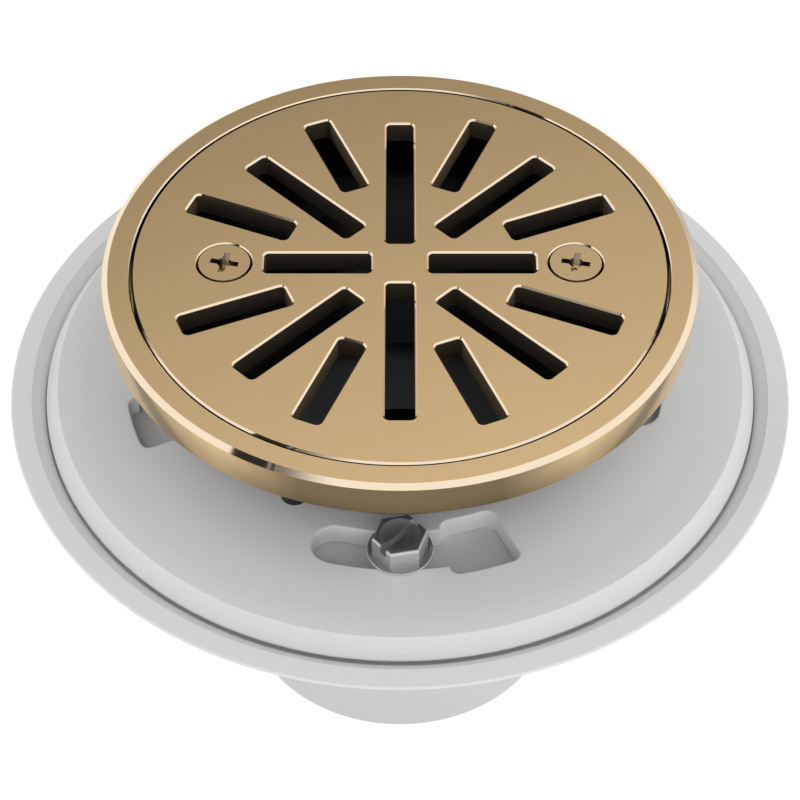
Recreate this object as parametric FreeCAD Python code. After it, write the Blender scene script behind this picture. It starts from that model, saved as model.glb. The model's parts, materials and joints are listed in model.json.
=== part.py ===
import FreeCAD, Part

import math
import os

# Round shower drain with a clamping collar and a screwed-on grate, in millimetres.
# Origin: centre of the pipe hub's lower end. +Z is up, and the front is -Y.

# Driving sizes --------------------------------------------------------------

TOP = 110.0                  # height of the grate's top face over the hub's lower end

PAST = 1.0                   # how far a cutting shape runs past a face
TIP_BREAK = 0.8              # chamfer of a screw's tip and of the collar's mouth
MOULD_BREAK = 0.5            # chamfer of the collar's foot

# Grate and its frame ring
GRATE_R = 54.3
GRATE_T = 4.85
GRATE_BEVEL = 0.37           # round the grate's top edge
SLOT_BEVEL = 0.35            # round the slots
OPENING_BEVEL = 0.25         # round the ring's opening
FRAME_OPENING_R = 54.67
FRAME_FACE_R = 59.1          # outer edge of the flat top face
FRAME_R = 60.3               # outer wall
FRAME_CHAMFER_H = 0.76
FRAME_H = 7.64
FRAME_FOOT_BEVEL = 0.3
LEDGE_R = 47.0               # inner edge of the ledge that carries the grate

SLOT_W = 5.85                # drain slot between its walls
SLOT_CORNER_R = 1.0
SLOT_SPANS = {               # angle step of 22.5 degrees -> (inner end, outer end)
    "axis_y": (5.75, 43.0),
    "axis_x": (5.8, 27.6),
    "diagonal": (12.75, 43.4),
    "between": (24.05, 46.95),
}

# Grate screws, flat head with a cross recess
SCREW_X = 35.6
SCREW_R = 2.4
SCREW_HEAD_R = 5.25
SCREW_HEAD_CONE = 2.9        # height of the countersunk cone
SCREW_HEAD_EDGE = 0.55       # height of the head's cylindrical edge
SCREW_SUNK = 0.05            # head's top under the grate's face
SCREW_TIP_Z = TOP - 18.0
SCREW_HOLE_R = 5.6
SCREW_HOLE_BEVEL = 0.26
SCREW_CLEAR_R = 2.7
SCREW_TURN = -12.0           # degrees, how far the cross is turned
CROSS_SPAN = 5.9
CROSS_W = 1.3
CROSS_DEPTH = 2.1
CROSS_CONE_SUNK = 0.3        # the cone runs deeper than the cross
CROSS_CONE_R = (0.5, 1.45)   # foot and mouth of the cone in the middle of the cross

# Clamping collar
COLLAR_TOP_Z = TOP - 29.8
COLLAR_T = 4.9
COLLAR_FACE_R = 72.2         # flat top face
COLLAR_R = 74.85
COLLAR_BEVEL_H = 3.7
SLEEVE_R = 43.6
SLEEVE_FOOT_Z = 45.5
SEAT_R = 45.6                # the collar stands on the flange inside this radius
LINER_GAP = 0.25             # under the collar outside its seat, for the shower pan's liner
COLLAR_EDGE_T = 0.4          # height of the collar's outer edge
COLLAR_UNDERCUT = 1.2        # the underside slopes up to that edge
BORE_R = 40.6                # sleeve bore, which is also the thread's crest
KEYHOLE_R = 50.9             # bolt circle radius
KEYHOLE_HALF_W = 4.6
KEYHOLE_END = -14.7          # degrees from the bolt to the narrow end's centre
POCKET_SPAN = (10.0, 24.7)   # degrees from the bolt to the pocket's two sides
POCKET_RADII = (44.1, 57.7)
POCKET_CORNER_R = (2.3, 1.9) # at the pocket's closed side, inner and outer
KEYHOLE_ROUND = 0.4          # rounding of the keyholes' upper edges
ROUND_STEPS = 3
WEEP_W = 4.0                 # weep grooves under the collar, between its keyholes
WEEP_DEPTH = 1.2
WEEP_ANGLE = 45.0            # degrees from the bolt
WEEP_R = 52.0                # outer end

# Clamp bolts, 1/4 inch, slotted hex washer head
BOLT_ANGLES = {"front": 270, "right": 0, "back": 90, "left": 180}
BOLT_R = 3.175
BOLT_TIP_Z = 62.0
BOLT_GAP = 0.05              # under the washer, so that the bolt can turn
WASHER_R = 6.55
WASHER_T = 0.6
WASHER_LIP = 0.35            # width of the rim round the washer's hollow
WASHER_HOLLOW = 0.3
WASHER_BREAK = (0.2, 0.1)    # chamfer of its lower and upper edges
HEX_FLATS = 9.8
HEX_H = 5.1                  # top of the hex over the collar
HEX_ROUND = 0.72             # rounding of the hex's upper edges
HEX_CUP_R = 4.05             # dished top
HEX_CUP_DEPTH = 1.1
DRIVER_SLOT_W = 1.7
DRIVER_SLOT_DEPTH = 1.9
DRIVER_SLOT_TURN = 47.0      # degrees
HEX_TURN = 11.0              # degrees

# Threaded inserts
BOLT_INSERT_R = 4.4
BOLT_INSERT_L = 12.0
BOLT_INSERT_SUNK = 0.3       # under the recess floor
BOLT_INSERT_BORE_R = 3.22
SCREW_INSERT_R = 3.3
SCREW_INSERT_L = 10.0
SCREW_INSERT_BORE_R = 2.45
SCREW_INSERT_SUNK = 0.1      # under the boss's top

# Base
FLANGE_R = 82.25
RIM_Z = TOP - 32.4
RIM_EDGE = 0.3
RIM_EDGE_Z = RIM_Z - 0.5     # foot of the rim's upright edge
RIM_UNDERCUT = 1.5           # the rim's underside runs in at 45 degrees
RIM_INNER_R = 77.55
RECESS_R = 75.2              # foot of the slope inside the rim
TRENCH_R = 70.5              # trench under the collar's edge, out to the slope's foot
TRENCH_DEPTH = 1.3
TRENCH_SLOPE = 2.6           # width of the slope down into the trench
RECESS_Z = COLLAR_TOP_Z - COLLAR_T
FLANGE_T = 4.5
WELL_R = 44.0
WELL_WALL = 3.5
WELL_FOOT_Z = 44.5
WELL_UNDER_Z = 41.0          # outside of the well
CONE_FOOT_Z = 38.1           # the cone inside runs down to the outlet
HUB_R = 36.3
HUB_TOP_Z = 36.0
HUB_EDGE = 0.3
OUTLET_R = 26.0
SOCKET_R = 30.2              # takes 2 inch pipe, 60.3 mm outside
SOCKET_DEPTH = 22.0
SOCKET_LEAD = 0.6
BOSS_R = 6.4
BOSS_FOOT_Z = 58.0
BOLT_WELL = (0.3, 1.5)       # room round and under a bolt's tip
RIB_COUNT = 8
RIB_T = 3.0
RIB_TIP_R = 72.2
RIB_TIP_H = 1.5              # height of a rib's outer end under the flange
RIB_SUNK = 0.5               # how far a rib runs into the flange and the well's wall

# Throat
THROAT_FLANGE_R = 55.2
THROAT_FLANGE_T = 2.9
THROAT_MOUTH_R = 48.0
THROAT_WALL_R = 50.0
SHELF_Z = TOP - 18.2
SHELF_T = 3.0
BARREL_BORE_R = 37.6
BARREL_R = 40.3              # thread root
BARREL_FOOT_Z = 48.0
BARREL_LEAD = 0.6            # chamfer of the barrel's foot
SHELF_BREAK = (1.2, 2.7)     # chamfer outside under the shelf, across and down
POST_ANGLE = 66.2            # first of four posts, a quarter turn apart
POST_CIRCLE_R = 50.75
POST_R = 2.75
POST_FOOT_Z = TOP - 18.0
NOTCH_CIRCLE_R = 48.9        # two notches at the mouth's front and back
NOTCH_R = 2.8
NOTCH_WALL_R = (47.8, 49.0)  # how far out the notch reaches, in the shelf and in the mouth
SCREW_BOSS_R = 4.4
SCREW_BOSS_FOOT_Z = 84.0
SCREW_BOSS_GAP = 0.1         # under the grate
SCREW_WELL = 2.0             # room under a grate screw's tip
WEB_T = 4.0                  # web between the boss and the mouth's wall
WEB_SUNK = 0.8               # how far it runs into the wall
WEB_TOP_Z = TOP - 8.64
POCKET_X = (21.4, 30.5)      # moulding pockets in the shelf
POCKET_DEPTH = 2.0
POCKET_WALL = (0.8, 0.4)     # left standing inside and outside a pocket

# Thread between the throat and the collar
PITCH = 3.175
THREAD_SUNK = 0.3            # how far a ridge's root runs into the wall
RIDGE_R = 41.3
RIDGE_FOOT_Z = 66.0
RIDGE_TOP_Z = 87.0
RIDGE_W = (1.5, 0.7)         # at the root and at the crest
GROOVE_R = 41.6
GROOVE_SLACK = 0.25          # on each flank
GROOVE_TURNS = 5             # whole pitches over the ridge's foot, past the collar's top

# Friction ring on the barrel
RING_Z = (49.6, 51.8)
RING_SEAT_R = 39.3
RING_FIT = 0.05              # radial and axial play of the ring
RING_BREAK = 0.3             # chamfer of its outer edges

# Screws that hold the frame on the throat
FRAME_SCREW_R = 1.0
FRAME_SCREW_CLEAR_R = 1.15
FRAME_SCREW_HEAD_R = 1.9
FRAME_SCREW_HEAD_T = 1.4
FRAME_SCREW_RECESS_R = 2.1
FRAME_SCREW_RECESS = 2.2
FRAME_SCREW_BITE = 2.2       # depth of thread in the frame's ledge
FRAME_SCREW_FIT = 0.02       # radial, in the frame's holes
FRAME_SCREW_TIP = 0.2        # short of the hole's end
FRAME_SCREW_BREAK = (0.5, 0.3)   # chamfer of its head and of its tip
FRAME_CROSS = (2.2, 0.65, 0.9)   # length, width and depth of its cross

FRAME_FOOT_Z = TOP - FRAME_H
LEDGE_Z = TOP - GRATE_T
THROAT_FLANGE_FOOT_Z = FRAME_FOOT_Z - THROAT_FLANGE_T
Vector = FreeCAD.Vector
UP = Vector(0, 0, 1)
AXIS = Vector(0, 0, 0)


# Shape helpers --------------------------------------------------------------

def polar(radius, degrees, z=0.0):
    """Point on a circle about the drain's axis."""
    turn = math.radians(degrees)
    return Vector(radius * math.cos(turn), radius * math.sin(turn), z)


def revolve(profile):
    """Solid turned from a closed outline of (radius, height) points."""
    points = [Vector(radius, 0, z) for radius, z in profile]
    face = Part.Face(Part.makePolygon(points + points[:1]))
    return face.revolve(AXIS, UP, 360)


def cylinder(radius, z_low, z_high, centre=AXIS):
    """Upright cylinder between two heights."""
    return Part.makeCylinder(radius, z_high - z_low, Vector(centre.x, centre.y, z_low))


def spun(shape, degrees):
    """Copy of a shape turned about the drain's axis."""
    copy = shape.copy()
    copy.rotate(AXIS, UP, degrees)
    return copy


def prism(points, z_low, z_high):
    """Upright prism on a closed outline of (x, y) points."""
    corners = [Vector(x, y, z_low) for x, y in points]
    face = Part.Face(Part.makePolygon(corners + corners[:1]))
    return face.extrude(Vector(0, 0, z_high - z_low))


def upright_edges(shape):
    """Edges that run straight up."""
    found = []
    for edge in shape.Edges:
        if len(edge.Vertexes) != 2:
            continue
        along = edge.Vertexes[1].Point - edge.Vertexes[0].Point
        if abs(along.x) + abs(along.y) < 1e-6:
            found.append(edge)
    return found


def edges_at(shape, z, chosen):
    """Edges that lie flat at a height, and whose centre passes a test."""
    found = []
    for edge in shape.Edges:
        box = edge.BoundBox
        if abs(box.ZMin - z) < 1e-4 and abs(box.ZMax - z) < 1e-4 and chosen(edge):
            found.append(edge)
    return found


def thread(root_r, crest_r, widths, z_low, z_high):
    """Helical ridge of a trapezoid section, starting on the +X side."""
    helix = Part.makeHelix(PITCH, z_high - z_low, root_r)
    sunk = root_r - THREAD_SUNK
    root, crest = widths[0] / 2, widths[1] / 2
    section = [
        Vector(sunk, 0, -root), Vector(crest_r, 0, -crest),
        Vector(crest_r, 0, crest), Vector(sunk, 0, root),
    ]
    outline = Part.makePolygon(section + section[:1])
    ridge = Part.Wire(helix).makePipeShell([outline], True, True)
    ridge.translate(Vector(0, 0, z_low))
    return ridge


# Grate ----------------------------------------------------------------------

def drain_slots():
    """The sixteen slots as prisms that pass through the grate."""
    slots = []
    for step in range(16):
        if step % 8 == 4:
            inner, outer = SLOT_SPANS["axis_y"]
        elif step % 8 == 0:
            inner, outer = SLOT_SPANS["axis_x"]
        elif step % 2 == 0:
            inner, outer = SLOT_SPANS["diagonal"]
        else:
            inner, outer = SLOT_SPANS["between"]
        half = SLOT_W / 2
        outline = [(inner, -half), (outer, -half), (outer, half), (inner, half)]
        block = prism(outline, LEDGE_Z - PAST, TOP + PAST)
        block = block.makeFillet(SLOT_CORNER_R, upright_edges(block))
        slots.append(spun(block, step * 22.5))
    return slots


def round_the_plate(edge):
    """True for the outer edge of the plate, and False for a slot's edge."""
    return edge.BoundBox.XLength > GRATE_R


def grate():
    plate = cylinder(GRATE_R, LEDGE_Z, TOP)
    plate = plate.cut(drain_slots())
    plate = plate.makeChamfer(SLOT_BEVEL, edges_at(plate, TOP, lambda edge: not round_the_plate(edge)))
    plate = plate.makeChamfer(GRATE_BEVEL, edges_at(plate, TOP, round_the_plate))
    cone_top = TOP - SCREW_HEAD_EDGE
    mouth_r = SCREW_HOLE_R + SCREW_HOLE_BEVEL
    screw_hole = revolve([
        (0, LEDGE_Z - PAST), (SCREW_CLEAR_R, LEDGE_Z - PAST), (SCREW_CLEAR_R, cone_top - SCREW_HEAD_CONE),
        (SCREW_HOLE_R, cone_top), (SCREW_HOLE_R, TOP - SCREW_HOLE_BEVEL),
        (mouth_r, TOP), (mouth_r, TOP + PAST), (0, TOP + PAST),
    ])
    for side in (-1, 1):
        hole = screw_hole.copy()
        hole.translate(Vector(side * SCREW_X, 0, 0))
        plate = plate.cut(hole)
    return plate


def grate_screw(side):
    """Countersunk screw with a cross recess."""
    top = TOP - SCREW_SUNK
    cone_top = top - SCREW_HEAD_EDGE
    profile = [
        (0, SCREW_TIP_Z), (SCREW_R - TIP_BREAK, SCREW_TIP_Z), (SCREW_R, SCREW_TIP_Z + TIP_BREAK),
        (SCREW_R, cone_top - SCREW_HEAD_CONE), (SCREW_HEAD_R, cone_top),
        (SCREW_HEAD_R, top), (0, top),
    ]
    screw = revolve(profile)
    half, foot = CROSS_SPAN / 2, CROSS_SPAN / 4
    wings = []
    for turn in (0, 90):
        corners = [
            Vector(-half, -CROSS_W / 2, TOP), Vector(half, -CROSS_W / 2, TOP),
            Vector(foot, -CROSS_W / 2, top - CROSS_DEPTH), Vector(-foot, -CROSS_W / 2, top - CROSS_DEPTH),
        ]
        wing = Part.Face(Part.makePolygon(corners + corners[:1])).extrude(Vector(0, CROSS_W, 0))
        wings.append(spun(wing, turn))
    cone_foot = top - CROSS_DEPTH - CROSS_CONE_SUNK
    wings.append(Part.makeCone(*CROSS_CONE_R, TOP - cone_foot, Vector(0, 0, cone_foot)))
    screw = screw.cut(wings)
    screw = spun(screw, SCREW_TURN)
    screw.translate(Vector(side * SCREW_X, 0, 0))
    return screw


# Frame ring -----------------------------------------------------------------

def frame_ring():
    foot = FRAME_FOOT_Z
    ring = revolve([
        (LEDGE_R, foot), (FRAME_R - FRAME_FOOT_BEVEL, foot), (FRAME_R, foot + FRAME_FOOT_BEVEL),
        (FRAME_R, TOP - FRAME_CHAMFER_H), (FRAME_FACE_R, TOP), (FRAME_OPENING_R + OPENING_BEVEL, TOP),
        (FRAME_OPENING_R, TOP - OPENING_BEVEL), (FRAME_OPENING_R, LEDGE_Z), (LEDGE_R, LEDGE_Z),
    ])
    hole_r = FRAME_SCREW_R + FRAME_SCREW_FIT
    return ring.cut([cylinder(hole_r, foot - PAST, foot + FRAME_SCREW_BITE, post) for post in posts()])


# Throat ---------------------------------------------------------------------

def posts():
    """Axes of the four posts that take the frame's screws."""
    return [polar(POST_CIRCLE_R, POST_ANGLE + quarter * 90) for quarter in range(4)]


def throat_shell():
    """Flange, mouth, shelf and plain barrel, with the friction ring's groove."""
    under = SHELF_Z - SHELF_T
    return revolve([
        (BARREL_BORE_R, BARREL_FOOT_Z), (BARREL_R - BARREL_LEAD, BARREL_FOOT_Z),
        (BARREL_R, BARREL_FOOT_Z + BARREL_LEAD), (BARREL_R, RING_Z[0]), (RING_SEAT_R, RING_Z[0]),
        (RING_SEAT_R, RING_Z[1]), (BARREL_R, RING_Z[1]),
        (BARREL_R, under), (THROAT_WALL_R - SHELF_BREAK[0], under),
        (THROAT_WALL_R, under + SHELF_BREAK[1]), (THROAT_WALL_R, THROAT_FLANGE_FOOT_Z),
        (THROAT_FLANGE_R, THROAT_FLANGE_FOOT_Z), (THROAT_FLANGE_R, FRAME_FOOT_Z),
        (THROAT_MOUTH_R, FRAME_FOOT_Z), (THROAT_MOUTH_R, SHELF_Z), (BARREL_BORE_R, SHELF_Z),
    ])


def shelf_pockets():
    """Four shallow pockets in the shelf, two on each side."""
    inner, outer = BARREL_R + POCKET_WALL[0], THROAT_MOUTH_R - POCKET_WALL[1]
    ring = revolve([
        (inner, SHELF_Z - POCKET_DEPTH), (outer, SHELF_Z - POCKET_DEPTH),
        (outer, SHELF_Z + PAST), (inner, SHELF_Z + PAST),
    ])
    low, high = POCKET_X
    cells = []
    for side in (-1, 1):
        left, right = sorted((side * low, side * high))
        outline = [(left, -FRAME_R), (right, -FRAME_R), (right, FRAME_R), (left, FRAME_R)]
        cells.append(prism(outline, SHELF_Z - SHELF_T, SHELF_Z + PAST))
    return [ring.common(cell) for cell in cells]


def throat():
    body = throat_shell()
    above = FRAME_FOOT_Z + PAST
    under_shelf = SHELF_Z - SHELF_T - PAST
    adds = [cylinder(POST_R, POST_FOOT_Z, THROAT_FLANGE_FOOT_Z + PAST, post) for post in posts()]
    cuts = shelf_pockets()
    for turn in (90, 270):
        notch = cylinder(NOTCH_R, SHELF_Z - POCKET_DEPTH, above, polar(NOTCH_CIRCLE_R, turn))
        cuts.append(notch.common(cylinder(NOTCH_WALL_R[0], SHELF_Z - POCKET_DEPTH, above)))
        cuts.append(notch.common(cylinder(NOTCH_WALL_R[1], SHELF_Z, above)))
    mouth = cylinder(THROAT_MOUTH_R, SHELF_Z, above)
    body = body.fuse([add.cut(mouth) for add in adds])
    boss_top = LEDGE_Z - SCREW_BOSS_GAP
    for side in (-1, 1):
        centre = Vector(side * SCREW_X, 0, 0)
        boss = cylinder(SCREW_BOSS_R, SCREW_BOSS_FOOT_Z, boss_top, centre)
        left, right = sorted((side * SCREW_X, side * (THROAT_MOUTH_R + WEB_SUNK)))
        outline = [(left, -WEB_T / 2), (right, -WEB_T / 2), (right, WEB_T / 2), (left, WEB_T / 2)]
        web = prism(outline, SHELF_Z, WEB_TOP_Z)
        body = body.fuse([boss, web])
        cuts.append(cylinder(SCREW_INSERT_R, boss_top - SCREW_INSERT_L, boss_top + PAST, centre))
        cuts.append(cylinder(SCREW_CLEAR_R, SCREW_TIP_Z - SCREW_WELL, boss_top, centre))
    for post in posts():
        cuts.append(cylinder(FRAME_SCREW_CLEAR_R, POST_FOOT_Z - PAST, above, post))
        cuts.append(cylinder(FRAME_SCREW_RECESS_R, under_shelf, POST_FOOT_Z + FRAME_SCREW_RECESS, post))
    body = body.cut(cuts)
    ridge = thread(BARREL_R, RIDGE_R, RIDGE_W, RIDGE_FOOT_Z, RIDGE_TOP_Z)
    return body.fuse(ridge)


def throat_ring():
    low, high = RING_Z[0] + RING_FIT, RING_Z[1] - RING_FIT
    inner, outer = RING_SEAT_R + RING_FIT, BORE_R - RING_FIT
    return revolve([
        (inner, low), (outer - RING_BREAK, low), (outer, low + RING_BREAK),
        (outer, high - RING_BREAK), (outer - RING_BREAK, high), (inner, high),
    ])


def grate_insert(side):
    boss_top = LEDGE_Z - SCREW_BOSS_GAP
    top = boss_top - SCREW_INSERT_SUNK
    low = boss_top - SCREW_INSERT_L
    centre = Vector(side * SCREW_X, 0, 0)
    sleeve = cylinder(SCREW_INSERT_R, low, top, centre)
    return sleeve.cut(cylinder(SCREW_INSERT_BORE_R, low - PAST, top + PAST, centre))


def frame_screw(centre):
    head_top = POST_FOOT_Z + FRAME_SCREW_RECESS
    head_foot = head_top - FRAME_SCREW_HEAD_T
    tip = FRAME_FOOT_Z + FRAME_SCREW_BITE - FRAME_SCREW_TIP
    head, end = FRAME_SCREW_BREAK
    screw = revolve([
        (0, head_foot), (FRAME_SCREW_HEAD_R - head, head_foot), (FRAME_SCREW_HEAD_R, head_foot + head),
        (FRAME_SCREW_HEAD_R, head_top), (FRAME_SCREW_R, head_top), (FRAME_SCREW_R, tip - end),
        (FRAME_SCREW_R - end, tip), (0, tip),
    ])
    long, wide, deep = FRAME_CROSS[0] / 2, FRAME_CROSS[1] / 2, FRAME_CROSS[2]
    for turn in (0, 90):
        outline = [(-long, -wide), (long, -wide), (long, wide), (-long, wide)]
        screw = screw.cut(spun(prism(outline, head_foot - PAST, head_foot + deep), turn))
    screw.translate(centre)
    return screw


# Clamping collar ------------------------------------------------------------

def corner(radius, turn, size, outward, ahead):
    """Round corner of a pocket between a radial side at an angle and an arc at a radius.

    outward is 1 at the outer arc and -1 at the inner one; ahead is 1 if the pocket lies at larger angles.
    Returns the corner's arc as its points on the radial side, in the middle and on the pocket's arc.
    """
    step = ahead * math.degrees(size / radius)
    centre = polar(radius - outward * size, turn + step)
    along = polar(1, turn + step)
    across = polar(1, turn + step - ahead * 90)
    middle = centre + (along * outward + across) * (size * math.sqrt(0.5))
    return [polar(radius - outward * size, turn), middle, polar(radius, turn + step)]


def keyhole(turn):
    """Outline of one keyhole: a narrow arc that opens into a pocket the bolt head passes."""
    low, high = KEYHOLE_R - KEYHOLE_HALF_W, KEYHOLE_R + KEYHOLE_HALF_W
    inner, outer = POCKET_RADII
    start, mouth, stop = turn + KEYHOLE_END, turn + POCKET_SPAN[0], turn + POCKET_SPAN[1]
    corners = [
        corner(outer, mouth, outer - high, 1, 1),
        corner(outer, stop, POCKET_CORNER_R[1], 1, -1)[::-1],
        corner(inner, stop, POCKET_CORNER_R[0], -1, -1),
        corner(inner, mouth, low - inner, -1, 1)[::-1],
    ]
    end = polar(KEYHOLE_R, start) - polar(KEYHOLE_HALF_W, start + 90)
    middle = (mouth + stop) / 2
    between = (start + mouth) / 2
    edges = [Part.Arc(polar(high, start), polar(high, between), corners[0][0])]
    edges += [Part.Arc(*corners[0]), Part.Arc(corners[0][2], polar(outer, middle), corners[1][0])]
    edges += [Part.Arc(*corners[1]), Part.LineSegment(corners[1][2], corners[2][0])]
    edges += [Part.Arc(*corners[2]), Part.Arc(corners[2][2], polar(inner, middle), corners[3][0])]
    edges += [Part.Arc(*corners[3]), Part.Arc(corners[3][2], polar(low, between), polar(low, start))]
    edges += [Part.Arc(polar(low, start), end, polar(high, start))]
    return Part.Wire([edge.toShape() for edge in edges])


def keyhole_cuts(turn, z_low, z_top):
    """A keyhole's prism, and the flared slices over it that round its upper edge."""
    outline = keyhole(turn)
    outline.translate(Vector(0, 0, z_low))
    cuts = [Part.Face(outline).extrude(Vector(0, 0, z_top + PAST - z_low))]
    rings = []
    for step in range(ROUND_STEPS + 1):
        lean = math.radians(90 * step / ROUND_STEPS)
        ring = keyhole(turn)
        if step:
            ring = ring.makeOffset2D(KEYHOLE_ROUND * (1 - math.cos(lean)))
        ring.translate(Vector(0, 0, z_top - KEYHOLE_ROUND * (1 - math.sin(lean))))
        rings.append(ring)
    for lower, upper in zip(rings, rings[1:]):
        cuts.append(Part.makeLoft([lower, upper], True, True))
    return cuts


def clamping_collar():
    foot = RECESS_Z
    bevel_foot = COLLAR_TOP_Z - COLLAR_BEVEL_H
    edge_foot = bevel_foot - COLLAR_EDGE_T
    body = revolve([
        (BORE_R, SLEEVE_FOOT_Z), (SLEEVE_R - MOULD_BREAK, SLEEVE_FOOT_Z),
        (SLEEVE_R, SLEEVE_FOOT_Z + MOULD_BREAK), (SLEEVE_R, foot), (SEAT_R, foot), (SEAT_R, foot + LINER_GAP),
        (COLLAR_R - COLLAR_UNDERCUT, foot + LINER_GAP), (COLLAR_R, edge_foot), (COLLAR_R, bevel_foot),
        (COLLAR_FACE_R, COLLAR_TOP_Z), (BORE_R + TIP_BREAK, COLLAR_TOP_Z), (BORE_R, COLLAR_TOP_Z - TIP_BREAK),
    ])
    half = WEEP_W / 2
    outline = [(SLEEVE_R, -half), (WEEP_R, -half), (WEEP_R, half), (SLEEVE_R, half)]
    weep = prism(outline, foot - PAST, foot + WEEP_DEPTH)
    for turn in BOLT_ANGLES.values():
        for cut in keyhole_cuts(turn, foot - PAST, COLLAR_TOP_Z):
            body = body.cut(cut)
        body = body.cut(spun(weep, turn + WEEP_ANGLE))
    slack = 2 * GROOVE_SLACK
    groove = thread(BORE_R, GROOVE_R, (RIDGE_W[0] + slack, RIDGE_W[1] + slack),
                    RIDGE_FOOT_Z - 2 * PITCH, RIDGE_FOOT_Z + GROOVE_TURNS * PITCH)
    return body.cut(groove)


# Clamp bolts and their inserts ----------------------------------------------

def bolt_head(seat, top):
    """Hexagon with rounded upper edges, a dished top and a driver slot."""
    corner_r = HEX_FLATS / math.sqrt(3)
    hexagon = prism([polar(corner_r, 60 * side)[:2] for side in range(6)], seat + WASHER_BREAK[0], top)
    hexagon = hexagon.makeFillet(HEX_ROUND, edges_at(hexagon, top, lambda edge: True))
    dish_r = (HEX_CUP_R ** 2 + HEX_CUP_DEPTH ** 2) / (2 * HEX_CUP_DEPTH)
    dish = Part.makeSphere(dish_r, Vector(0, 0, top - HEX_CUP_DEPTH + dish_r))
    half = DRIVER_SLOT_W / 2
    outline = [(-WASHER_R, -half), (WASHER_R, -half), (WASHER_R, half), (-WASHER_R, half)]
    slot = prism(outline, top - DRIVER_SLOT_DEPTH, top + PAST)
    return spun(hexagon.cut(dish), HEX_TURN).cut(spun(slot, DRIVER_SLOT_TURN))


def clamp_bolt(turn):
    seat = COLLAR_TOP_Z + BOLT_GAP
    rim = seat + WASHER_T
    low, high = WASHER_BREAK
    hollow_r = WASHER_R - WASHER_LIP - WASHER_HOLLOW
    shank = revolve([
        (0, BOLT_TIP_Z), (BOLT_R - TIP_BREAK, BOLT_TIP_Z), (BOLT_R, BOLT_TIP_Z + TIP_BREAK), (BOLT_R, seat),
        (WASHER_R - low, seat), (WASHER_R, seat + low), (WASHER_R, rim - high), (WASHER_R - high, rim),
        (WASHER_R - WASHER_LIP, rim), (hollow_r, rim - WASHER_HOLLOW), (0, rim - WASHER_HOLLOW),
    ])
    bolt = shank.fuse(bolt_head(seat, COLLAR_TOP_Z + HEX_H))
    bolt.translate(polar(KEYHOLE_R, turn))
    return bolt


def bolt_insert(turn):
    top = RECESS_Z - BOLT_INSERT_SUNK
    centre = polar(KEYHOLE_R, turn)
    sleeve = cylinder(BOLT_INSERT_R, top - BOLT_INSERT_L, top, centre)
    return sleeve.cut(cylinder(BOLT_INSERT_BORE_R, top - BOLT_INSERT_L - PAST, top + PAST, centre))


# Base -----------------------------------------------------------------------

def base_shell():
    """Flange, well and pipe hub as one turned shape."""
    under = RECESS_Z - FLANGE_T
    outer_well = WELL_R + WELL_WALL
    return revolve([
        (SOCKET_R + SOCKET_LEAD, 0), (HUB_R - HUB_EDGE, 0), (HUB_R, HUB_EDGE), (HUB_R, HUB_TOP_Z),
        (outer_well, WELL_UNDER_Z), (outer_well, under), (RECESS_R, under),
        (FLANGE_R - RIM_UNDERCUT, RIM_EDGE_Z - RIM_UNDERCUT), (FLANGE_R, RIM_EDGE_Z),
        (FLANGE_R, RIM_Z - RIM_EDGE), (FLANGE_R - RIM_EDGE, RIM_Z),
        (RIM_INNER_R + RIM_EDGE, RIM_Z), (RIM_INNER_R, RIM_Z - RIM_EDGE),
        (RECESS_R, RECESS_Z), (RECESS_R, RECESS_Z - TRENCH_DEPTH), (TRENCH_R, RECESS_Z - TRENCH_DEPTH),
        (TRENCH_R - TRENCH_SLOPE, RECESS_Z), (WELL_R, RECESS_Z), (WELL_R, WELL_FOOT_Z),
        (OUTLET_R, CONE_FOOT_Z), (OUTLET_R, SOCKET_DEPTH), (SOCKET_R, SOCKET_DEPTH),
        (SOCKET_R, SOCKET_LEAD),
    ])


def base_rib(turn):
    """Upright rib under the flange, between the well and the rim."""
    under = RECESS_Z - FLANGE_T
    root = WELL_R + WELL_WALL - RIB_SUNK
    corners = [
        Vector(root, -RIB_T / 2, under + RIB_SUNK), Vector(RIB_TIP_R, -RIB_T / 2, under + RIB_SUNK),
        Vector(RIB_TIP_R, -RIB_T / 2, under - RIB_TIP_H), Vector(root, -RIB_T / 2, BOSS_FOOT_Z),
    ]
    face = Part.Face(Part.makePolygon(corners + corners[:1]))
    return spun(face.extrude(Vector(0, RIB_T, 0)), turn)


def drain_base():
    body = base_shell()
    well = cylinder(WELL_R + WELL_WALL / 2, BOSS_FOOT_Z - PAST, RECESS_Z)
    adds = []
    cuts = []
    for turn in BOLT_ANGLES.values():
        centre = polar(KEYHOLE_R, turn)
        adds.append(cylinder(BOSS_R, BOSS_FOOT_Z, RECESS_Z - FLANGE_T / 2, centre).cut(well))
        insert_foot = RECESS_Z - BOLT_INSERT_SUNK - BOLT_INSERT_L
        cuts.append(cylinder(BOLT_INSERT_R, insert_foot, RECESS_Z + PAST, centre))
        cuts.append(cylinder(BOLT_R + BOLT_WELL[0], BOLT_TIP_Z - BOLT_WELL[1], RECESS_Z, centre))
    for rib in range(RIB_COUNT):
        adds.append(base_rib((rib + 0.5) * 360 / RIB_COUNT))
    return body.fuse(adds).cut(cuts)


# All the pieces -------------------------------------------------------------

def pieces():
    made = {
        "drain_base": drain_base(),
        "clamping_collar": clamping_collar(),
        "throat": throat(),
        "throat_ring": throat_ring(),
        "frame_ring": frame_ring(),
        "grate": grate(),
        "grate_screw_left": grate_screw(-1),
        "grate_screw_right": grate_screw(1),
        "grate_insert_left": grate_insert(-1),
        "grate_insert_right": grate_insert(1),
    }
    for name, turn in BOLT_ANGLES.items():
        made["clamp_bolt_" + name] = clamp_bolt(turn)
        made["bolt_insert_" + name] = bolt_insert(turn)
    for number, centre in enumerate(posts(), start=1):
        made["frame_screw_%d" % number] = frame_screw(centre)
    return made


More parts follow.
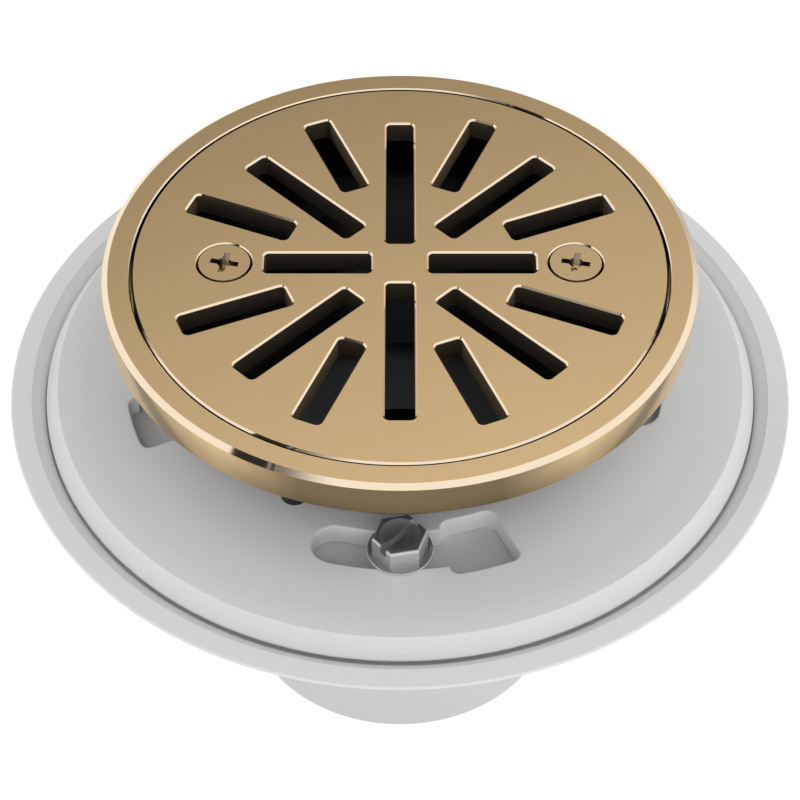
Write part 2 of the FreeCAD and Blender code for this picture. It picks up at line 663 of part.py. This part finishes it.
os.makedirs("parts", exist_ok=True)
for name, shape in pieces().items():
    if shape.ShapeType == "Compound" and len(shape.Solids) == 1:
        shape = shape.Solids[0]
    if not shape.isValid() or not shape.Solids:
        raise ValueError(name + " is not a valid solid")
    shape.exportStep("parts/" + name + ".step")
    print("%-20s solids %d  volume %.0f mm3" % (name, len(shape.Solids), shape.Volume))
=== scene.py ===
import json
import math

import bpy
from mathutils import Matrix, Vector


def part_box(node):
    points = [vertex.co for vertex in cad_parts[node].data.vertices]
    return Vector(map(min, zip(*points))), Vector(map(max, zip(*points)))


# Looks of the round floor drain: materials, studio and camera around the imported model, in metres.

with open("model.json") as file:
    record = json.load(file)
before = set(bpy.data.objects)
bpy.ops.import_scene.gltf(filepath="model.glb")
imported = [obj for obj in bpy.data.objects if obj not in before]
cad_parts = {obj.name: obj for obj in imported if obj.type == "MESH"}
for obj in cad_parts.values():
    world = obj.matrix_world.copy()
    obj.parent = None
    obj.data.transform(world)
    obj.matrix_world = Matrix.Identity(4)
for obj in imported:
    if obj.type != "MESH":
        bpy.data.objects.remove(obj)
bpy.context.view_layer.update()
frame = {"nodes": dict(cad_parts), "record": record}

# Driving values ---------------------------------------------------------------

GRATE_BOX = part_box("grate")
TOP_Z = GRATE_BOX[1][2]

CAMERA_TILT = math.radians(47.12)      # below the horizon
CAMERA_BACK = 0.3431                   # in front of the drain's axis
CAMERA_RISE = 0.3285                   # over the grate's top face
CAMERA_LENS = 105.4                    # mm
CAMERA_SENSOR = 36.0                   # mm

GOLD = (0.80, 0.565, 0.295, 1)
GOLD_BEVEL_HIGHLIGHT = (0.80, 0.66, 0.49, 1)      # polished bevels, in a paler gold that whitens their highlights as painted highlight
GOLD_WALL_REFLECTION = (1.0, 0.72, 0.38, 1)       # painted reflection on the ring's brushed outer wall, pale at the sides
GOLD_FRONT_REFLECTION = (0.175, 0.127, 0.070, 1)  # and a dark brown painted reflection in front
GOLD_SLOT_SHADE = (0.325, 0.27, 0.20, 1)     # walls of the drain slots, darkened with painted shade
GOLD_STEEP_LIT = (0.72, 0.57, 0.38, 1)     # painted light on the walls among them that stand near the line of sight
GOLD_CROSS_SHADE = (0.24, 0.20, 0.15, 1)      # painted shade inside the driver crosses
SEAM_SHADE_BLACK = (0.02, 0.018, 0.014, 1)   # painted shade on the grate's outer bevel, away from the front
SEAM_WALL_SHADE = (0.11, 0.09, 0.065, 1)     # painted shade on the two walls of the seam between grate and ring
SEAM_R = GRATE_BOX[1][0] - 0.0005      # the grate's rim wall and bevel lie outside this radius
OUTSIDE_R = GRATE_BOX[1][0] + 0.003    # the ring's outer wall lies outside this radius
SEAM_SOFT = 0.0002                     # width over which one zone of the gold becomes the next
BEVEL_ROUGHNESS = 0.05
WALL_ROUGHNESS = 0.16
SLOT_ROUGHNESS = 0.45
WALL_UP = (0.1, 0.35)                  # upward share of the normal between a wall and a bevel,
FLAT_UP = (0.93, 0.985)                # and between a bevel and the top

# Y share of a wall's or a bevel's normal, from -1 in front to 1 at the back.
BRIGHT_BEVEL = (-0.36, -0.24)          # the grate's outer bevel keeps its painted highlight up to here
STEEP_FROM = (-0.6, -0.45)             # the slot walls paler with painted light lie between these two
STEEP_TO = (-0.3, -0.15)
BROWN_WALL = (-0.95, -0.82)            # the ring's wall, in painted reflections, turns from brown to gold,
PALE_WALL = (-0.64, -0.5)              # then to pale gold,
BACK_WALL = (-0.1, 0.2)                # then to the plain gold of its back
BAND_AT = -0.706                       # the dark band of painted reflection on that wall, at the wall's foot,
BAND_LEAN = 0.16                       # and how much further back it is at the wall's top
BAND_HALF = (0.03, 0.09)               # dark up to the first distance from it, gone at the second

BAND_Z = (TOP_Z - 0.0076, TOP_Z - 0.0008)  # heights of that wall's foot and top
BAND_SHARE = 0.4                       # of the wall's pale gold, in the band
GOLD_SHARE = 0.68                      # of the same, next to the brown
BACK_SHARE = 0.85                      # of the plain gold, at the back

PVC = (0.736, 0.738, 0.745, 1)
PVC_UNDER_FRAME_LIGHT = (0.93, 0.93, 0.935, 1)    # painted light: the collar paler right under the frame, lifting its shadow
UNDER_FRAME_LIGHT_R = (0.050, 0.066)              # where that ends
# painted shade inside the well, black at the outlet
WELL_SHADE_GREY = (0.135, 0.14, 0.15, 1)
OUTLET_SHADE_BLACK = (0.004, 0.004, 0.004, 1)
HUB_SHADE_SHARE = 0.76                       # of the white left at the hub's foot, as painted shade
HUB_FADE_Z = (0.02, 0.06)              # heights over which it gets back to white
BETWEEN_R = (0.031, 0.04415)           # a cone inside the wall of the outlet and the well,
BETWEEN_Z = (0.036, 0.0445)            # at its foot and at its top
SOCKET_TOP_Z = 0.022                   # the white pipe socket ends here
SOCKET_SOFT = 0.001
OUTLET_TOP_Z = 0.0381                  # and the black outlet here
OUTLET_SOFT = 0.0003
MOUTH_R = 0.0479                       # just inside the throat's mouth
BARREL_R = 0.0377                      # just outside its bore
ZONE_SOFT = 0.0001                     # half the width over which one zone becomes the next
# painted light inside the black throat: grey in the bore, darker grey in the mouth
BARREL_LIT_GREY = (0.135, 0.14, 0.15, 1)
MOUTH_LIT_GREY = (0.050, 0.052, 0.056, 1)
BLACK = (0.009, 0.009, 0.010, 1)
ASIDE_SHADE = (0.009, 0.015)                 # distance to the left or right over which painted shade darkens the throat
RUBBER = (0.02, 0.02, 0.02, 1)
STEEL = (0.62, 0.62, 0.625, 1)
BRASS = (0.60, 0.42, 0.16, 1)

DOME_BRIGHT = 1.17                     # front and side boxes
DOME_FRONT_DROP = 0.15                 # how much dimmer the front box is at its foot
BACK_LIGHT = (-1.61, 3.155, 0.62)      # at the horizon, and its growth upwards and to the right
BACK_RANGE = (0.2, 1.0)
FAR_RIGHT_DROP = 0.45                  # how much dimmer the dome is low at the back right

# The boxes' soft edges, as X, Y or Z shares of a direction: from dark to bright, or low to high.
SIDE_BOX_X = (0.25, 0.5)
FRONT_BOX_Y = (0.3, 0.0)
FRONT_FOOT_Y = (0.0, -0.6)
FRONT_FOOT_Z = (0.75, 0.1)
FAR_RIGHT_X = (0.3, 0.6)
FAR_RIGHT_Y = (0.3, 0.7)
FAR_RIGHT_Z = (0.4, 0.0)

# The gap between the left and the front box, in degrees.
GAP_AZIMUTH = -50.0                    # from the front, at GAP_HEIGHT above the horizon
GAP_HEIGHT = 35.0
GAP_LEAN = 0.8                         # towards the left for each degree of height
GAP_HALF_WIDTH = 10.5
GAP_SOFT = 1.0
GAP_SHOULDER = 30.0                    # the box beside the gap brightens over this angle
GAP_LOW = (22.0, 28.0)                 # the gap fades in over these heights
GAP_STRIP = 3.2                        # a paler strip inside the gap, this far from its edge
GAP_STRIP_HALF = (1.2, 0.2)
STRIP_SHARE = 0.3                      # of the gap's darkness that the strip takes away
SHOULDER_SHARE = 0.8                   # of the gap's darkness at the shoulder's start
GAP_DARK = 0.97                        # share of the light that the gap takes away

FLOOR_PALE = (0.35, 0.35, 0.35, 1)
FLOOR_GLOW = 0.80
FLOOR_SIZE = 6.0
FLOOR_SHADE_R = 0.034                   # painted shade: the floor is black under the hub's open pipe socket
FLOOR_SHADE_SOFT = 0.001

# Shader helpers ---------------------------------------------------------------

class Shader:
    """A material's node tree with short calls for the nodes used here."""

    def __init__(self, name):
        self.material = bpy.data.materials.new(name)
        self.material.use_nodes = True
        self.tree = self.material.node_tree
        self.bsdf = self.tree.nodes["Principled BSDF"]
        self.coords = self.tree.nodes.new("ShaderNodeTexCoord").outputs["Object"]

    def set(self, **values):
        for name, value in values.items():
            self.bsdf.inputs[name.replace("_", " ")].default_value = value

    def link(self, output, socket):
        self.tree.links.new(output, socket)

    def node(self, kind, **values):
        made = self.tree.nodes.new("ShaderNode" + kind)
        for name, value in values.items():
            if name in made.inputs:
                made.inputs[name].default_value = value
            else:
                setattr(made, name, value)
        return made

    def stretched(self, scale):
        """Object coordinates multiplied by a scale for each axis."""
        mapping = self.node("Mapping")
        mapping.inputs["Scale"].default_value = scale
        self.link(self.coords, mapping.inputs["Vector"])
        return mapping.outputs["Vector"]

    def noise(self, scale, detail=2.0, stretch=(1, 1, 1)):
        """Noise from 0 to 1, with a scale in cycles per metre."""
        noise = self.node("TexNoise", Scale=1.0, Detail=detail)
        self.link(self.stretched([scale * s for s in stretch]), noise.inputs["Vector"])
        return noise.outputs["Fac"]

    def range(self, value, low, high, start=0.0, stop=1.0):
        """value going from start..stop, mapped to low..high and kept inside."""
        ranged = self.node("MapRange")
        self.link(value, ranged.inputs["Value"])
        for name, number in (("From Min", start), ("From Max", stop), ("To Min", low), ("To Max", high)):
            ranged.inputs[name].default_value = number
        return ranged.outputs["Result"]

    def mix(self, factor, a, b):
        """Colour a at factor 0 and b at factor 1; a and b are colours or outputs."""
        mix = self.node("Mix", data_type="RGBA")
        self.link(factor, mix.inputs[0])
        for socket, value in ((mix.inputs[6], a), (mix.inputs[7], b)):
            if hasattr(value, "links"):
                self.link(value, socket)
            else:
                socket.default_value = value
        return mix.outputs[2]

    def blend(self, factor, a, b):
        """Number a at factor 0 and b at factor 1; a and b are numbers or outputs."""
        mix = self.node("Mix", data_type="FLOAT")
        self.link(factor, mix.inputs[0])
        for socket, value in ((mix.inputs[2], a), (mix.inputs[3], b)):
            if hasattr(value, "links"):
                self.link(value, socket)
            else:
                socket.default_value = value
        return mix.outputs[0]

    def height(self):
        """Height in the node's own frame, in metres."""
        split = self.node("SeparateXYZ")
        self.link(self.coords, split.inputs[0])
        return split.outputs["Z"]

    def math(self, operation, *values):
        node = self.node("Math", operation=operation)
        for socket, value in zip(node.inputs, values):
            if hasattr(value, "links"):
                self.link(value, socket)
            else:
                socket.default_value = value
        return node.outputs[0]

    def aside(self):
        """Distance to the left or right of the node's middle, in metres."""
        split = self.node("SeparateXYZ")
        self.link(self.coords, split.inputs[0])
        return self.math("ABSOLUTE", split.outputs["X"])

    def radius(self):
        """Distance from the node's upright axis, in metres."""
        flat = self.node("VectorMath", operation="MULTIPLY")
        self.link(self.coords, flat.inputs[0])
        flat.inputs[1].default_value = (1, 1, 0)
        length = self.node("VectorMath", operation="LENGTH")
        self.link(flat.outputs["Vector"], length.inputs[0])
        return length.outputs["Value"]

    def bump(self, height, strength, distance):
        bump = self.node("Bump", Strength=strength, Distance=distance)
        self.link(height, bump.inputs["Height"])
        return bump.outputs["Normal"]

    def normal(self, axis, kind="True Normal"):
        """Share of one axis in the surface's direction: for Z, 1 on top faces and 0 on walls."""
        split = self.node("SeparateXYZ")
        geometry = self.node("NewGeometry")
        self.link(geometry.outputs[kind], split.inputs[0])
        return split.outputs[axis]


def shade(colour, share):
    """Colour with each channel multiplied by a share."""
    return [channel * share for channel in colour[:3]] + [1]


def gold_plate(name, bevel_colour, wall_colour, wall_roughness):
    """Satin plating: smooth top, polished bevels, finely brushed walls."""
    s = Shader(name)
    s.set(Metallic=1.0)
    up = s.normal("Z")
    wall = s.range(up, 1.0, 0.0, *WALL_UP)
    flat = s.range(up, 0.0, 1.0, *FLAT_UP)
    tint = s.mix(s.noise(45.0), shade(GOLD, 0.985), shade(GOLD, 1.015))
    brushed = s.noise(1.0, 3.0, (90, 90, 7000))
    lined = wall_colour(s, s.range(brushed, 0.0, 1.0, 0.3, 0.7))
    s.link(s.mix(wall, s.mix(flat, bevel_colour(s), tint), lined), s.bsdf.inputs["Base Color"])
    satin = s.range(s.noise(9000.0, 1.0), 0.17, 0.23)
    rough = s.blend(wall, s.blend(flat, BEVEL_ROUGHNESS, satin), wall_roughness)
    s.link(rough, s.bsdf.inputs["Roughness"])
    s.link(s.bump(brushed, 0.04, 0.00002), s.bsdf.inputs["Normal"])
    return s.material


def outside_seam(s):
    """1 on the grate's outer bevel and rim wall."""
    return s.range(s.radius(), 0.0, 1.0, SEAM_R - SEAM_SOFT, SEAM_R)


def grate_bevel(s):
    """Polished, in the paler gold of a painted highlight; in the seam with the frame that highlight
    stays only where it faces the front, and the rest is painted black as shade.
    """
    front = s.range(s.normal("Y"), 1.0, 0.0, *BRIGHT_BEVEL)
    seam = s.mix(front, SEAM_SHADE_BLACK, GOLD_BEVEL_HIGHLIGHT)
    return s.mix(outside_seam(s), GOLD_BEVEL_HIGHLIGHT, seam)


def ring_bevel(s):
    # painted highlight: the ring's bevels take the same paler gold
    return GOLD_BEVEL_HIGHLIGHT


def grate_wall(s, brushed):
    """Slot walls are dull and darkened with painted shade, the steep ones paler with painted light, and
    the wall of the rim is darker still with painted shade.
    """
    facing = s.normal("Y")
    steep = s.blend(s.range(facing, 0.0, 1.0, *STEEP_FROM), 0.0, s.range(facing, 1.0, 0.0, *STEEP_TO))
    slots = s.mix(brushed, shade(GOLD_SLOT_SHADE, 0.94), shade(GOLD_SLOT_SHADE, 1.06))
    slots = s.mix(steep, slots, GOLD_STEEP_LIT)
    return s.mix(outside_seam(s), slots, SEAM_WALL_SHADE)


def ring_wall(s, brushed):
    """The ring's deep wall has painted reflections: brown in front and pale at the sides, with a
    slanting dark band; the seam's wall inside it gets painted shade.
    """
    facing = s.normal("Y", "Normal")
    brown = s.mix(brushed, shade(GOLD_FRONT_REFLECTION, 0.95), shade(GOLD_FRONT_REFLECTION, 1.06))
    lit = s.mix(brushed, shade(GOLD_WALL_REFLECTION, 0.97), shade(GOLD_WALL_REFLECTION, 1.03))
    pale = s.mix(s.range(facing, 0.0, 1.0, *BACK_WALL), lit, shade(GOLD, BACK_SHARE))
    sides = s.mix(s.range(facing, 0.0, 1.0, *PALE_WALL), shade(GOLD_WALL_REFLECTION, GOLD_SHARE), pale)
    lean = s.range(s.height(), 0.0, BAND_LEAN, *BAND_Z)
    off = s.math("ABSOLUTE", s.math("SUBTRACT", s.math("SUBTRACT", facing, lean), BAND_AT))
    banded = s.mix(s.range(off, 1.0, 0.0, *BAND_HALF), sides, shade(GOLD_WALL_REFLECTION, BAND_SHARE))
    outside = s.mix(s.range(facing, 1.0, 0.0, *BROWN_WALL), banded, brown)
    return s.mix(s.range(s.radius(), 0.0, 1.0, OUTSIDE_R - SEAM_SOFT, OUTSIDE_R), SEAM_WALL_SHADE, outside)


def gold_screw():
    """The same plating on the screws, dull and dark with painted shade down in the driver cross."""
    s = Shader("gold_screw")
    s.set(Metallic=1.0)
    depth = s.range(s.normal("Z"), 1.0, 0.0, 0.5, 0.9)
    tint = s.mix(s.noise(300.0), GOLD, shade(GOLD, 0.95))
    s.link(s.mix(depth, tint, GOLD_CROSS_SHADE), s.bsdf.inputs["Base Color"])
    s.link(s.range(s.noise(6000.0), 0.18, 0.24), s.bsdf.inputs["Roughness"])
    return s.material


def collar_pvc(s, tint):
    """The collar is a little paler right under the frame, as painted light in the frame's shadow."""
    return s.mix(s.range(s.radius(), 1.0, 0.0, *UNDER_FRAME_LIGHT_R), tint, PVC_UNDER_FRAME_LIGHT)


def base_pvc(s, tint):
    """Painted shade: the base is a little greyer down its hub and dark inside the well, blackest at the
    outlet.
    """
    hub = s.mix(s.range(s.height(), 1.0, 0.0, *HUB_FADE_Z), tint, shade(PVC, HUB_SHADE_SHARE))
    between = s.range(s.height(), *BETWEEN_R, *BETWEEN_Z)
    inside = s.math("LESS_THAN", s.radius(), between)
    over = s.range(s.height(), 0.0, 1.0, SOCKET_TOP_Z - SOCKET_SOFT, SOCKET_TOP_Z)
    within = s.blend(over, 0.0, inside)
    deep = s.range(s.height(), 1.0, 0.0, OUTLET_TOP_Z - OUTLET_SOFT, OUTLET_TOP_Z)
    return s.mix(within, hub, s.mix(deep, WELL_SHADE_GREY, OUTLET_SHADE_BLACK))


def pvc(name, coloured):
    """Moulded white PVC with a faint orange-peel surface."""
    s = Shader(name)
    s.set(Specular_IOR_Level=0.35)
    tint = s.mix(s.noise(30.0), shade(PVC, 0.985), PVC)
    s.link(coloured(s, tint), s.bsdf.inputs["Base Color"])
    peel = s.noise(1400.0, 2.0)
    s.link(s.bump(peel, 0.08, 0.00004), s.bsdf.inputs["Normal"])
    s.link(s.range(s.noise(700.0), 0.42, 0.55), s.bsdf.inputs["Roughness"])
    return s.material


def black_plastic():
    """Black moulding: glossy outside; inside, painted light makes it greyer in the mouth and greyest in
    the middle of the bore, and painted shade darkens it to the left and right.
    """
    s = Shader("abs_black")
    s.set(Specular_IOR_Level=0.14)
    cloud = s.noise(60.0)
    inside = s.range(s.radius(), 1.0, 0.0, MOUTH_R - ZONE_SOFT, MOUTH_R + ZONE_SOFT)
    bore = s.range(s.radius(), 1.0, 0.0, BARREL_R - ZONE_SOFT, BARREL_R + ZONE_SOFT)
    outer = s.mix(cloud, BLACK, shade(BLACK, 1.25))
    inner = s.mix(bore, s.mix(cloud, MOUTH_LIT_GREY, shade(MOUTH_LIT_GREY, 1.15)), BARREL_LIT_GREY)
    inner = s.mix(s.range(s.aside(), 0.0, 0.8, *ASIDE_SHADE), inner, BLACK)
    s.link(s.mix(inside, outer, inner), s.bsdf.inputs["Base Color"])
    s.link(s.range(s.noise(120.0), 0.27, 0.33), s.bsdf.inputs["Roughness"])
    return s.material


def rubber():
    s = Shader("ring_rubber")
    s.link(s.mix(s.noise(900.0), RUBBER, shade(RUBBER, 1.6)), s.bsdf.inputs["Base Color"])
    s.link(s.range(s.noise(1500.0), 0.6, 0.8), s.bsdf.inputs["Roughness"])
    return s.material


def metal(name, colour, rough, streaks, bare=1.0, top=1.0):
    """Turned or drawn metal with fine streaks; streaks is the noise's scale on each axis.

    bare is its Metallic value, and top is the share of its colour left on faces that look up, as painted
    shade.
    """
    s = Shader(name)
    s.set(Metallic=bare)
    streak = s.noise(1.0, 3.0, streaks)
    up = s.range(s.normal("Z"), 0.0, 1.0, 0.82, 0.94)
    sides = s.mix(streak, shade(colour, 0.95), colour)
    s.link(s.mix(up, sides, shade(colour, top)), s.bsdf.inputs["Base Color"])
    s.link(s.range(streak, rough - 0.03, rough + 0.03), s.bsdf.inputs["Roughness"])
    return s.material


def dress():
    """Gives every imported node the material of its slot, in its own version where it has one."""
    made = {
        "grate": gold_plate("gold_grate", grate_bevel, grate_wall, SLOT_ROUGHNESS),
        "frame_ring": gold_plate("gold_ring", ring_bevel, ring_wall, WALL_ROUGHNESS),
        "drain_base": pvc("pvc_base", base_pvc),
        "clamping_collar": pvc("pvc_collar", collar_pvc),
        "gold_screw": gold_screw(),
        "abs_black": black_plastic(),
        "ring_rubber": rubber(),
        # painted shade on the bolt's faces that look up
        "bolt_steel": metal("bolt_steel", STEEL, 0.4, (700, 700, 700), 0.75, 0.66),
        "screw_steel": metal("screw_steel", STEEL, 0.25, (500, 500, 6000)),
        "insert_brass": metal("insert_brass", BRASS, 0.3, (500, 500, 6000)),
    }
    for part in frame["record"]["subparts"]:
        for slot in frame["nodes"][part["node"]].material_slots:
            slot.material = made.get(part["node"]) or made[part["material_slot"]]


# Studio -------------------------------------------------------------------------

class Sky:
    """Node calls for the studio's dome, which is a brightness for each direction."""

    def __init__(self, world):
        world.use_nodes = True
        self.tree = world.node_tree
        split = self.tree.nodes.new("ShaderNodeSeparateXYZ")
        coords = self.tree.nodes.new("ShaderNodeTexCoord")
        self.tree.links.new(coords.outputs["Generated"], split.inputs[0])
        self.x, self.y, self.z = split.outputs

    def math(self, operation, *values):
        node = self.tree.nodes.new("ShaderNodeMath")
        node.operation = operation
        for socket, value in zip(node.inputs, values):
            if hasattr(value, "links"):
                self.tree.links.new(value, socket)
            else:
                socket.default_value = value
        return node.outputs[0]

    def smooth(self, value, start, stop, low=0.0, high=1.0):
        node = self.tree.nodes.new("ShaderNodeMapRange")
        node.interpolation_type = "SMOOTHSTEP"
        for name, number in (("Value", value), ("From Min", start), ("From Max", stop),
                             ("To Min", low), ("To Max", high)):
            if hasattr(number, "links"):
                self.tree.links.new(number, node.inputs[name])
            else:
                node.inputs[name].default_value = number
        return node.outputs["Result"]


def soft_boxes(sky):
    """Bright boxes in front and at the sides, with a dimmer back that brightens upwards."""
    horizon, upwards, rightwards = BACK_LIGHT
    back = sky.math("ADD", sky.math("MULTIPLY_ADD", sky.z, upwards, horizon),
                    sky.math("MULTIPLY", sky.x, rightwards))
    back = sky.math("MINIMUM", sky.math("MAXIMUM", back, BACK_RANGE[0]), BACK_RANGE[1])
    side = sky.smooth(sky.math("ABSOLUTE", sky.x), *SIDE_BOX_X)
    front = sky.smooth(sky.y, *FRONT_BOX_Y)
    lit = sky.math("MAXIMUM", side, front)
    low_front = sky.math("MULTIPLY", sky.smooth(sky.y, *FRONT_FOOT_Y), sky.smooth(sky.z, *FRONT_FOOT_Z))
    boxes = sky.math("MULTIPLY_ADD", low_front, -DOME_FRONT_DROP, DOME_BRIGHT)
    bright = sky.math("ADD", sky.math("MULTIPLY", back, sky.math("SUBTRACT", 1.0, lit)),
                      sky.math("MULTIPLY", lit, boxes))
    far_right = sky.math("MULTIPLY", sky.smooth(sky.x, *FAR_RIGHT_X), sky.smooth(sky.y, *FAR_RIGHT_Y))
    far_right = sky.math("MULTIPLY", far_right, sky.smooth(sky.z, *FAR_RIGHT_Z, 0.0, FAR_RIGHT_DROP))
    return sky.math("MULTIPLY", bright, sky.math("SUBTRACT", 1.0, far_right))


def dark_gap(sky):
    """1 in the gap between the left and the front box, and 0 well away from it."""
    azimuth = sky.math("ARCTAN2", sky.x, sky.math("MULTIPLY", sky.y, -1.0))
    height = sky.math("ARCSINE", sky.z)
    level_azimuth = math.radians(GAP_AZIMUTH + GAP_LEAN * GAP_HEIGHT)
    off = sky.math("SUBTRACT", azimuth, sky.math("MULTIPLY_ADD", height, -GAP_LEAN, level_azimuth))
    edge = math.radians(GAP_HALF_WIDTH)
    soft = math.radians(GAP_SOFT)
    gap = sky.smooth(sky.math("ABSOLUTE", off), edge + soft, edge - soft)
    strip = sky.math("ABSOLUTE", sky.math("SUBTRACT", off, edge - math.radians(GAP_STRIP)))
    strip = sky.smooth(strip, *map(math.radians, GAP_STRIP_HALF), 0.0, STRIP_SHARE)
    gap = sky.math("SUBTRACT", gap, strip)
    shoulder = sky.smooth(off, edge, edge + math.radians(GAP_SHOULDER), SHOULDER_SHARE, 0.0)
    shoulder = sky.math("MULTIPLY", shoulder, sky.math("GREATER_THAN", off, edge))
    fade = sky.smooth(height, *map(math.radians, GAP_LOW))
    return sky.math("MULTIPLY", sky.math("MAXIMUM", gap, shoulder), fade)


def dome():
    """Soft boxes in front and at the sides, a dimmer low back, and one dark gap on the left."""
    world = bpy.data.worlds.new("studio")
    bpy.context.scene.world = world
    sky = Sky(world)
    total = sky.math("MULTIPLY", soft_boxes(sky),
                     sky.math("MULTIPLY_ADD", dark_gap(sky), -GAP_DARK, 1.0))
    background = sky.tree.nodes["Background"]
    background.inputs["Color"].default_value = (1, 1, 1, 1)
    sky.tree.links.new(total, background.inputs["Strength"])


def floor():
    """Plain pale floor under the hub, painted black as shade right under its open pipe socket."""
    bpy.ops.mesh.primitive_plane_add(size=FLOOR_SIZE)
    plane = bpy.context.object
    plane.name = "floor"
    s = Shader("floor")
    s.set(Roughness=1.0, Specular_IOR_Level=0.0, Emission_Color=(1, 1, 1, 1))
    away = s.node("VectorMath", operation="LENGTH")
    s.link(s.coords, away.inputs[0])
    open_floor = s.range(away.outputs["Value"], 0.0, 1.0, FLOOR_SHADE_R, FLOOR_SHADE_R + FLOOR_SHADE_SOFT)
    s.link(s.mix(open_floor, (0, 0, 0, 1), FLOOR_PALE), s.bsdf.inputs["Base Color"])
    s.link(s.blend(open_floor, 0.0, FLOOR_GLOW), s.bsdf.inputs["Emission Strength"])
    plane.data.materials.append(s.material)


def camera():
    data = bpy.data.cameras.new("camera")
    data.sensor_width = CAMERA_SENSOR
    data.lens = CAMERA_LENS
    shot = bpy.data.objects.new("camera", data)
    bpy.context.scene.collection.objects.link(shot)
    shot.location = Vector((0, -CAMERA_BACK, TOP_Z + CAMERA_RISE))
    shot.rotation_euler = (math.pi / 2 - CAMERA_TILT, 0, 0)
    bpy.context.scene.camera = shot


bpy.context.scene.view_settings.view_transform = "Standard"
dress()
dome()
floor()
camera()
